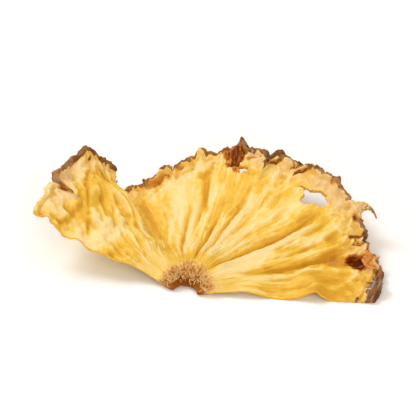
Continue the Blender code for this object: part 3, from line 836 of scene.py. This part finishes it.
def wall_column(body, above, below, made_of):
    """The points of the edge's wall, from a vertex of the upper face down to the lower face."""
    i, j = made_of[above][:2]
    inside = sum((face.calc_center_median() for face in above.link_faces), Vector())
    outwards = (above.co - inside / len(above.link_faces)).normalized()
    tall = (above.co - below.co).length
    column = [above]
    for step in range(1, WALL_STEPS + 1):
        t = step / (WALL_STEPS + 1)
        place = above.co.lerp(below.co, t)
        rough = sum(deep * noise.noise(place / size) for size, deep in WALL_ROUGHNESS)
        place += outwards * tall * (WALL_BULGE * math.sin(math.pi * t) + rough)
        column.append(body.verts.new(place))
        made_of[column[-1]] = (i, j, 0, 1.0)
    return column + [below]


def grow_bract(body, ring, outwards, bract, made_of):
    """Draws the ring out into a tapered tip and closes it."""
    _, _, length, lean, rise, arch = bract
    along = Vector((-outwards.y, outwards.x, 0))
    base = ring
    middle = sum((vertex.co for vertex in base), Vector()) / len(base)
    i, j = made_of[base[0]][:2]
    for step in range(1, BRACT_STEPS + 1):
        t = step / BRACT_STEPS
        out_by = length * math.cos(lean) * (1 - (1 - t) ** 2)
        place = middle + out_by * outwards + length * math.sin(lean) * t * t * along
        place.z += rise * t * t + arch * 4 * t * (1 - t)
        size = 1 - BRACT_TAPER * t**BRACT_SLIMMING
        turn = Matrix.Rotation(BRACT_TURN * lean * t, 3, "Z")
        tip = []
        for vertex in base:
            corner = place + size * (turn @ (vertex.co - middle))
            rough = BRACT_ROUGHNESS[1] * noise.noise(corner / BRACT_ROUGHNESS[0])
            tip.append(body.verts.new(corner + Vector((rough, rough, rough))))
            made_of[tip[-1]] = (i, j, 0, 1.0 + t)
        join(body, tip, ring)
        ring = tip
    body.faces.new(list(reversed(ring)))


def finished_sheet(body, made_of, given, levels):
    """Turns the body into an object, and gives its points their masks."""
    i, j, side, wall = np.array([made_of[vertex] for vertex in body.verts]).T
    i, j, side = i.astype(int), j.astype(int), side.astype(int)
    half_ring = new_object(NODE + "_dried", body)
    at_rim = (j == len(SHARES) - 1).astype(float)
    on_bract, wall = np.clip(wall - 1, 0, 1), np.clip(wall, 0, 1)
    values = {name: grid[i, j] for name, grid in given.items()}
    peel = np.maximum(values["peel"], at_rim * wall * values.pop("left"))
    values["peel"] = np.maximum(peel, ramp(on_bract, *BRACT_PEEL))
    values["level"] = np.array(levels)[side, i, j]
    values["wall"] = wall * (1 - at_rim)
    flat = np.stack((values.pop("fibre"), values["share"] * 100, side * FLAT_SIDE), axis=-1)
    for name, numbers in values.items():
        attribute = half_ring.data.attributes.new(name, "FLOAT", "POINT")
        attribute.data.foreach_set("value", numbers.astype(np.float32))
    attribute = half_ring.data.attributes.new("flat", "FLOAT_VECTOR", "POINT")
    attribute.data.foreach_set("vector", flat.astype(np.float32).ravel())
    return half_ring


# ---- Loose pieces: curly fibres of the core, flakes of the peel and leaves over the pits ----

FIBRE_SEED = 5
FIBRE_COUNT = 230
FIBRE_SPREAD = (0.01, 0.99)
FIBRE_SHARES = (0.086, 0.150)
FIBRE_LENGTHS = (0.0012, 0.0026)
FIBRE_RADII = (0.00009, 0.00015)
FIBRE_CURLS = (2.0, 5.0)
FIBRE_RISE = 0.7
FIBRE_SPRAWL = (-0.8, 0.8)
FIBRE_ROOT = 0.0002
FIBRE_TAPER = 0.65
FIBRE_STEPS = 10
FIBRE_SIDES = 5
FLAKE_SEED = 11
FLAKE_COUNT = 38
FLAKE_SPREAD = (0.1, 0.9)
FLAKE_ANGLES = (1, 140)
FLAKE_LEANS = (-0.8, 0.8)
FLAKE_HEIGHTS = (0.35, 0.98)
FLAKE_ROOT = 0.0003
FLAKE_LENGTHS = (0.0006, 0.0013)
FLAKE_WIDTHS = (0.0012, 0.0026)
FLAKE_CURLS = (-0.2, 1.3)
FLAKE_TAPER = 0.7
FLAKE_THICKNESS = 0.00016
# A flake's hollow as a share of its width, how much thinner its tip is, and how much thicker its
# middle
FLAKE_CUP = 0.5
FLAKE_TIP_THINNING = 0.7
FLAKE_MIDDLE = 1.2
FLAKE_ROWS = 6
FLAKE_COLUMNS = 4
# Waves of a flake's sides: how wide, how many radians along it, and how many more a metre of width
FLAKE_WAVES = (0.25, 7, 9000)
# Leaves that stand over the pits: angle, share, heading in degrees from outwards, length, width,
# lift off the flesh, and curl
LEAVES = (
    (12.4, 0.992, 172, 0.0054, 0.0046, 0.001, -0.12),
    (15.6, 0.985, 150, 0.002, 0.0014, 0.0006, 0.3), (81, 0.895, -40, 0.0022, 0.002, 0.0002, 0.5),
    (75.8, 0.945, 80, 0.0022, 0.0022, 0.0002, 0.35), (77, 0.985, 160, 0.0026, 0.0018, 0.0004, -0.1),
)
LEAF_TAPER = 0.35
# How many rows and lines of the mesh the ways outwards and round are measured over
WAY_ROWS = 2
WAY_LINES = 3
FLAKE_WAY_ROWS = 5


def unit(vector):
    return Vector(vector).normalized()


def ways_at(upper, i, j, inner):
    """The ways outwards, round and up at a point of the upper face, by its neighbours."""
    outwards = unit(upper[i, min(j + WAY_ROWS, len(SHARES) - 1)] - upper[i, inner])
    round_way = unit(upper[min(i + WAY_LINES, ANGLE_CELLS), j] - upper[max(i - WAY_LINES, 0), j])
    above = outwards.cross(round_way)
    return outwards, round_way, above if above.z > 0 else -above


def add_tube(body, places, radius):
    """A closed tube along the places, thinner towards its end."""
    last = len(places) - 1
    rings = []
    for k, place in enumerate(places):
        turn = (places[min(k + 1, last)] - places[max(k - 1, 0)]).to_track_quat("Z", "Y")
        size = radius * (1 - FIBRE_TAPER * k / last)
        ring = []
        for side in range(FIBRE_SIDES):
            a = 2 * math.pi * side / FIBRE_SIDES
            corner = turn @ Vector((size * math.cos(a), size * math.sin(a), 0))
            ring.append(body.verts.new(place + corner))
        rings.append(ring)
    for below, above in zip(rings, rings[1:]):
        join(body, below, above)
    body.faces.new(list(reversed(rings[0])))
    body.faces.new(rings[-1])


def core_fibres(upper):
    """The short curly ends of the core's fibres, which stand up round the notch."""
    random = np.random.default_rng(FIBRE_SEED)
    body = bmesh.new()
    for _ in range(FIBRE_COUNT):
        i = int(random.uniform(*FIBRE_SPREAD) * ANGLE_CELLS)
        j = index_at(SHARES, random.uniform(*FIBRE_SHARES))
        outwards, round_way, above = ways_at(upper, i, j, j)
        heading = FIBRE_RISE * above + random.uniform(*FIBRE_SPRAWL) * outwards
        heading += random.uniform(*FIBRE_SPRAWL) * round_way
        axis = unit(random.normal(size=3))
        length = random.uniform(*FIBRE_LENGTHS)
        curl = random.uniform(*FIBRE_CURLS) * random.choice((-1, 1))
        places = [Vector(upper[i, j]) - above * FIBRE_ROOT]
        for _ in range(FIBRE_STEPS):
            place = places[-1] + heading.normalized() * length / FIBRE_STEPS
            place.z = max(place.z, FLOOR_GAP)
            places.append(place)
            heading += axis.cross(heading) * curl / FIBRE_STEPS
        add_tube(body, places, random.uniform(*FIBRE_RADII))
    return new_object("core_fibres", body)


def flake_side(body, base, ways, length, width, curl, taper, offset):
    """One side of a flake, as a grid of vertices; ways are its own outwards, sideways and up."""
    outwards, sideways, above = ways
    wave, turns, more = FLAKE_WAVES
    grid = []
    for row in range(FLAKE_ROWS + 1):
        t = row / FLAKE_ROWS
        turn = curl * t
        middle = base + length * (math.sin(turn) * above + math.cos(turn) * outwards) * t
        wide = width * (1 - t) ** taper * (1 + wave * math.sin(turns * t + width * more))
        line = []
        for column in range(FLAKE_COLUMNS + 1):
            s = column / FLAKE_COLUMNS - 0.5
            bent = FLAKE_CUP * width * (s * s * 4 - 1) * (1 - t)
            thin = offset * (1 - FLAKE_TIP_THINNING * t) * (FLAKE_MIDDLE - abs(s))
            place = middle + sideways * s * wide + above * (bent + thin)
            place.z = max(place.z, FLOOR_GAP)
            line.append(body.verts.new(place))
        grid.append(line)
    return grid


def border(grid):
    """The vertices round the edge of a grid, in order."""
    first, last = [line[0] for line in grid], [line[-1] for line in grid]
    return grid[0][:-1] + last[:-1] + grid[-1][:0:-1] + first[:0:-1]


def add_flake(body, *shape):
    """A thin leaf that bends up or down from its root; its shape is as flake_side has it."""
    top = flake_side(body, *shape, FLAKE_THICKNESS / 2)
    bottom = flake_side(body, *shape, -FLAKE_THICKNESS / 2)
    for grid in (top, [line[::-1] for line in bottom]):
        for near, far in zip(grid, grid[1:]):
            for c in range(FLAKE_COLUMNS):
                body.faces.new((near[c], far[c], far[c + 1], near[c + 1]))
    join(body, border(top), border(bottom))


def peel_flakes(upper, lower):
    """Small dry flakes along the peel, thrown outwards and up."""
    random = np.random.default_rng(FLAKE_SEED)
    body = bmesh.new()
    for k in range(FLAKE_COUNT):
        spread = (k + random.uniform(*FLAKE_SPREAD)) / FLAKE_COUNT
        angle = FLAKE_ANGLES[0] + (FLAKE_ANGLES[1] - FLAKE_ANGLES[0]) * spread
        i = round(angle / 180 * ANGLE_CELLS)
        low, high = Vector(lower[i, -1]), Vector(upper[i, -1])
        above = unit(high - low)
        outwards = unit(upper[i, -1] - upper[i, -1 - FLAKE_WAY_ROWS])
        outwards = unit(outwards - above * outwards.dot(above))
        outwards = unit(outwards + random.uniform(*FLAKE_LEANS) * above.cross(outwards))
        base = low.lerp(high, random.uniform(*FLAKE_HEIGHTS)) - outwards * FLAKE_ROOT
        length, width = random.uniform(*FLAKE_LENGTHS), random.uniform(*FLAKE_WIDTHS)
        ways = (outwards, above.cross(outwards), above)
        add_flake(body, base, ways, length, width, random.uniform(*FLAKE_CURLS), FLAKE_TAPER)
    bmesh.ops.recalc_face_normals(body, faces=body.faces)
    return new_object("peel_flakes", body)


def pit_leaves(upper):
    """Small leaves of eye tissue that lie over the two large pits."""
    body = bmesh.new()
    for angle, share, heading, length, width, lift, curl in LEAVES:
        i, j = round(angle / 180 * ANGLE_CELLS), index_at(SHARES, share)
        outwards, round_way, above = ways_at(upper, i, j, j - WAY_ROWS)
        turn = math.radians(heading)
        towards = unit(math.cos(turn) * outwards + math.sin(turn) * round_way)
        ways = (towards, unit(above.cross(towards)), above)
        add_flake(body, Vector(upper[i, j]) + above * lift, ways, length, width, curl, LEAF_TAPER)
    bmesh.ops.recalc_face_normals(body, faces=body.faces)
    return new_object("pit_leaves", body)


# ---- Materials ----

FLESH_PALE = (0.935, 0.71, 0.335)
FLESH_GOLD = (0.875, 0.63, 0.18)
FLESH_DEEP = (0.81, 0.505, 0.055)
# Painted shade: the amber of the deepest valleys, creases and shaded patches
FLESH_SHADE_AMBER = (0.68, 0.36, 0.026)
FLESH_CUT = (0.84, 0.43, 0.03)
RIM_TAN = (0.75, 0.515, 0.25)
# Seams and painted shadow lines: orange at their edge, brown in their middle
SEAM_AND_SHADE_ORANGE = (0.62, 0.285, 0.04)
SEAM_AND_SHADOW_BROWN = (0.24, 0.085, 0.010)
PEEL_GOLD = (0.40, 0.185, 0.025)
PEEL_BROWN = (0.24, 0.088, 0.012)
PEEL_DARK = (0.090, 0.038, 0.016)
PEEL_ROSE = (0.50, 0.29, 0.165)
PEEL_GREY = (0.30, 0.245, 0.215)
PIT_BROWN = (0.15, 0.020, 0.0)
PIT_ORANGE = (0.54, 0.17, 0.006)
LEAF_ORANGE = (0.84, 0.38, 0.11)
CORE_TAN = (0.75, 0.385, 0.095)
CORE_PALE = (0.97, 0.69, 0.33)
CORE_RUST = (0.40, 0.14, 0.015)
# Painted shade: the dark brown of the core's slope into its notch
CORE_NOTCH_SHADE = (0.36, 0.085, 0.002)
# Between which levels of the relief the flesh turns from amber to each next colour; the amber and
# the deeper steps are partly painted shade, the pale step partly painted light
FLESH_STEPS = ((-0.65, 0.10, FLESH_DEEP), (0.10, 0.48, FLESH_GOLD), (0.45, 0.85, FLESH_PALE))
# Noise textures: waves a metre, or along the flat slice waves a degree and waves a hundredth share;
# then detail, roughness and warp
TEXTURES = {
    "streaks": ((0.42, 0.06), 4, 0.6, 0.3),
    "fine streaks": ((2.2, 0.10), 3, 0.6, 0.4),
    "blotches": (150, 3, 0.55, 0),
    "specks": (900, 3, 0.6, 0.3),
    "ragged edge": (1300, 3, 0.6, 0),
    "gloss": ((1.5, 0.12), 3, 0.6, 0.4),
    "fibre grain": ((3.2, 0.16), 3, 0.6, 0.3),
    "skin grain": (1500, 3, 0.6, 0),
    "bark": (420, 4, 0.65, 0.4),
    "bloom": ((0.10, 0.45), 2, 0.6, 0.2),
    "pit strands": ((2.4, 0.10), 3, 0.6, 0.4),
    "core curls": (900, 3, 0.6, 0.8),
    "core edge": ((0.5, 0.1), 3, 0.6, 0),
    "fibre tone": (700, 3, 0.6, 0),
    "fine fibre grain": (4000, 2, 0.6, 0),
    "flake bark": (500, 4, 0.65, 0.4),
    "flake tone": (120, 2, 0.5, 0),
    "flake grain": (1800, 3, 0.6, 0),
    "leaf strands": (900, 3, 0.6, 0.5),
}
# The range that most of a noise lies in, and how far the ragged edge moves a mask
NOISE_RANGE = (0.3, 0.7)
RAGGEDNESS = 0.20


class Nodes:
    """A material's node tree, and short ways to add to it."""

    def __init__(self, name):
        self.material = bpy.data.materials.new(name)
        self.material.use_nodes = True
        self.tree = self.material.node_tree
        self.shader = self.tree.nodes["Principled BSDF"]

    def put(self, socket, value):
        """Links the socket to another node's output, or sets it to a number, colour or vector."""
        if isinstance(value, bpy.types.NodeSocket):
            self.tree.links.new(value, socket)
        elif socket.type == "RGBA":
            socket.default_value = (*value, 1)
        else:
            socket.default_value = value

    def add(self, kind, inputs, **settings):
        """The outputs of a new node of this kind."""
        node = self.tree.nodes.new("ShaderNode" + kind)
        for name, value in settings.items():
            setattr(node, name, value)
        for name, value in inputs.items():
            self.put(node.inputs[name], value)
        return node.outputs

    def surface(self, inputs):
        """The material, once the shader has these inputs."""
        for name, value in inputs.items():
            self.put(self.shader.inputs[name], value)
        return self.material

    def attribute(self, name):
        return self.add("Attribute", {}, attribute_type="GEOMETRY", attribute_name=name)

    def mask(self, name):
        return self.attribute(name)["Fac"]

    def texture(self, name):
        """The noise of this name."""
        size, detail, roughness, warp = TEXTURES[name]
        if isinstance(size, tuple):
            place, scale = self.attribute("flat")["Vector"], (*size, 1)
        else:
            place, scale = self.add("TexCoord", {})["Object"], (size, size, size)
        place = self.add("VectorMath", {0: place, 1: scale}, operation="MULTIPLY")["Vector"]
        inputs = {"Vector": place, "Scale": 1, "Detail": detail}
        inputs |= {"Roughness": roughness, "Distortion": warp}
        return self.add("TexNoise", inputs)["Fac"]

    def spread(self, value, low, high, to_low=0.0, to_high=1.0):
        """The value from low to high as to_low to to_high, with smooth ends."""
        inputs = {"Value": value, "From Min": low, "From Max": high}
        inputs |= {"To Min": to_low, "To Max": to_high}
        return self.add("MapRange", inputs, interpolation_type="SMOOTHSTEP")["Result"]

    def vary(self, texture, low, high):
        """The noise, spread from low to high."""
        return self.spread(self.texture(texture), *NOISE_RANGE, low, high)

    def maths(self, kind, a, b):
        return self.add("Math", {0: a, 1: b}, operation=kind)[0]

    def mix(self, share, first, second):
        inputs = {"Factor": share, "A": first, "B": second}
        return self.add("Mix", inputs, data_type="RGBA")["Result"]

    def ragged(self, name, low, high):
        """The mask with a crisp, uneven edge."""
        uneven = self.vary("ragged edge", -RAGGEDNESS, RAGGEDNESS)
        return self.spread(self.maths("ADD", self.mask(name), uneven), low, high)

    def bump(self, texture, strength, distance, **below):
        """A bump of this noise, over another one below."""
        inputs = {"Height": self.texture(texture), "Strength": strength, "Distance": distance}
        return self.add("Bump", inputs | below)["Normal"]


def flesh_colour(n):
    """Deep in the valleys and pale on the crests, partly as painted shade and painted light; tan
    beside the peel, and brown in the seams and painted shadow lines.
    """
    tint = n.maths("ADD", n.vary("streaks", -0.26, 0.26), n.vary("blotches", -0.16, 0.16))
    tint = n.maths("ADD", tint, n.vary("fine streaks", -0.15, 0.15))
    level = n.maths("ADD", n.mask("level"), n.maths("MULTIPLY", tint, n.mask("lively")))
    flesh = FLESH_SHADE_AMBER
    for low, high, colour in FLESH_STEPS:
        flesh = n.mix(n.spread(level, low, high), flesh, colour)
    tan = n.maths("ADD", n.texture("blotches"), n.vary("specks", -0.12, 0.12))
    near_peel = n.spread(n.mask("share"), 0.84, 0.97)
    tan = n.maths("MULTIPLY", n.spread(tan, 0.35, 0.62, 0.25, 0.95), near_peel)
    tan = n.maths("MULTIPLY", tan, n.spread(n.mask("rose"), 0.0, 0.5, 0.32, 1.0))
    flesh = n.mix(tan, flesh, RIM_TAN)
    # Seams and painted shadow lines, orange then brown
    flesh = n.mix(n.spread(n.mask("seam_and_shadow"), 0.08, 0.42), flesh, SEAM_AND_SHADE_ORANGE)
    return n.mix(n.ragged("seam_and_shadow", 0.42, 0.66), flesh, SEAM_AND_SHADOW_BROWN)


def core_colour(n):
    """Tan, pale and rusty curls, and a brown beside the notch that is painted shade."""
    curls = n.texture("core curls")
    core = n.mix(n.spread(curls, 0.50, 0.62), CORE_TAN, CORE_PALE)
    core = n.mix(n.spread(curls, 0.50, 0.38), core, CORE_RUST)
    share = n.maths("ADD", n.mask("share"), n.vary("core edge", -0.02, 0.02))
    return n.mix(n.spread(share, 0.118, 0.092), core, CORE_NOTCH_SHADE)


def pit_colour(n):
    """Orange strands over brown."""
    inside = n.maths("ADD", n.mask("pit"), n.vary("pit strands", -0.45, 0.25))
    return n.mix(n.spread(inside, 0.50, 0.92), PIT_ORANGE, PIT_BROWN)


def peel_colour(n):
    """Golden or brown bark, rosy in places, with a grey bloom where it is darkest."""
    bark, dark = n.texture("bark"), n.mask("dark")
    rough = n.spread(bark, 0.36, 0.60)
    peel = n.mix(rough, PEEL_BROWN, PEEL_GOLD)
    peel = n.mix(n.spread(dark, 0.3, 0.8), peel, n.mix(rough, PEEL_DARK, PEEL_BROWN))
    rosy = n.maths("MULTIPLY", n.mask("rose"), n.spread(bark, 0.40, 0.56, 0.2, 1.0))
    peel = n.mix(rosy, peel, PEEL_ROSE)
    bloom = n.spread(n.texture("bloom"), 0.54, 0.64, 0.0, 0.9)
    return n.mix(n.maths("MULTIPLY", bloom, n.spread(dark, 0.75, 1.0)), peel, PEEL_GREY)


def dried_flesh():
    """The half ring: its flesh, cut edges, core, pits and peel."""
    n = Nodes("dried_pineapple")
    colour = n.mix(n.mask("wall"), flesh_colour(n), FLESH_CUT)
    colour = n.mix(n.mask("core"), colour, core_colour(n))
    colour = n.mix(n.spread(n.mask("pit"), 0.0, 0.45), colour, pit_colour(n))
    peel = n.ragged("peel", 0.38, 0.62)
    roughness = n.maths("MAXIMUM", n.vary("gloss", 0.38, 0.56), n.maths("MULTIPLY", peel, 0.8))
    look = {
        "Base Color": n.mix(peel, colour, peel_colour(n)),
        "Roughness": roughness,
        "Subsurface Weight": 0.25,
        "Subsurface Radius": (1.0, 0.8, 0.25),
        "Subsurface Scale": 0.0012,
        "Specular IOR Level": 0.20,
        "Normal": n.bump("skin grain", 0.35, 0.00015, Normal=n.bump("fibre grain", 0.45, 0.00025)),
    }
    return n.surface(look)


def core_fibre_look():
    n = Nodes("core_fibre")
    look = {
        "Base Color": n.mix(n.spread(n.texture("fibre tone"), 0.35, 0.65), CORE_TAN, CORE_PALE),
        "Roughness": 0.55,
        "Subsurface Weight": 0.2,
        "Subsurface Radius": (1.0, 0.5, 0.2),
        "Subsurface Scale": 0.0004,
        "Normal": n.bump("fine fibre grain", 0.3, 0.00005),
    }
    return n.surface(look)


def flake_look():
    n = Nodes("peel_flake")
    bark, tone = n.texture("flake bark"), n.texture("flake tone")
    colour = n.mix(n.spread(bark, 0.36, 0.60), PEEL_BROWN, PEEL_GOLD)
    colour = n.mix(n.spread(tone, 0.52, 0.62), colour, RIM_TAN)
    look = {
        "Base Color": n.mix(n.spread(tone, 0.48, 0.36), colour, PEEL_DARK),
        "Roughness": n.spread(bark, *NOISE_RANGE, 0.55, 0.8),
        "Normal": n.bump("flake grain", 0.4, 0.0001),
    }
    return n.surface(look)


def leaf_look():
    n = Nodes("pit_leaf")
    strands = n.spread(n.texture("leaf strands"), 0.35, 0.62)
    look = {
        "Base Color": n.mix(strands, PIT_ORANGE, LEAF_ORANGE),
        "Roughness": 0.6,
        "Specular IOR Level": 0.28,
        "Normal": n.bump("leaf strands", 0.5, 0.0001),
    }
    return n.surface(look)


# ---- Stage, light and camera ----

FLOOR_COLOUR = (0.95, 0.965, 1.0)
FLOOR_SIZE = 3.0
WORLD_STRENGTH = 0.60
WORLD_COLOUR = (1.0, 0.86, 0.66, 1.0)
CAMERA_HEADING = -90
CAMERA_ELEVATION = 42
CAMERA_DISTANCE = 3.0
FRAME_WIDTH = 0.107
SENSOR_WIDTH = 36
# name, heading and elevation in degrees, distance, size in metres, power in watts, colour
LIGHTS = (
    ("key", 152, 54, 0.8, 0.32, 2.85, (0.98, 1, 1.08)),
    ("overhead", 20, 80, 0.9, 0.7, 1, (0.95, 1, 1.15)),
    ("fill", 285, 40, 0.9, 0.7, 2.6, (1, 0.96, 0.86)),
)


def make_floor():
    mesh = bpy.data.meshes.new("floor")
    half = FLOOR_SIZE / 2
    corners = [(-half, -half, 0), (half, -half, 0), (half, half, 0), (-half, half, 0)]
    mesh.from_pydata(corners, [], [(0, 1, 2, 3)])
    look = {"Base Color": FLOOR_COLOUR, "Roughness": 0.8, "Specular IOR Level": 0.1}
    mesh.materials.append(Nodes("floor").surface(look))
    return placed("floor", mesh)


def look_from(made, target, heading, elevation, distance):
    """Puts a light or a camera this far from the target, and turns it towards it."""
    a, e = math.radians(heading), math.radians(elevation)
    towards = Vector((math.cos(a) * math.cos(e), math.sin(a) * math.cos(e), math.sin(e)))
    made.location = target + towards * distance
    made.rotation_mode = "QUATERNION"
    made.rotation_quaternion = towards.to_track_quat("Z", "Y")


def make_lights(target):
    for name, heading, elevation, distance, size, power, colour in LIGHTS:
        data = bpy.data.lights.new(name, "AREA")
        data.shape = "DISK"
        data.size = size
        data.energy = power
        data.color = colour
        look_from(placed(name, data), target, heading, elevation, distance)
    world = bpy.data.worlds.new("studio")
    world.use_nodes = True
    background = world.node_tree.nodes["Background"]
    background.inputs["Color"].default_value = WORLD_COLOUR
    background.inputs["Strength"].default_value = WORLD_STRENGTH
    bpy.context.scene.world = world
    bpy.context.scene.view_settings.view_transform = "Standard"


def make_camera(target):
    data = bpy.data.cameras.new("camera")
    data.sensor_width = SENSOR_WIDTH
    data.lens = SENSOR_WIDTH * CAMERA_DISTANCE / FRAME_WIDTH
    data.clip_start = 0.01
    data.clip_end = 10
    camera = placed("camera", data)
    look_from(camera, target, CAMERA_HEADING, CAMERA_ELEVATION, CAMERA_DISTANCE)
    bpy.context.scene.camera = camera


upper, lower, given, levels = faces_of_sheet()
half_ring = main_sheet(upper, lower, given, levels)
half_ring.data.materials.append(dried_flesh())
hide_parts(NODE)
fibres = core_fibres(upper)
fibres.data.materials.append(core_fibre_look())
flakes = peel_flakes(upper, lower)
flakes.data.materials.append(flake_look())
leaves = pit_leaves(upper)
leaves.data.materials.append(leaf_look())
for piece in (half_ring, fibres, flakes, leaves):
    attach(piece, "root")

low, high = cad_box
middle = (low + high) / 2
make_lights(middle)
make_camera(middle)
make_floor()
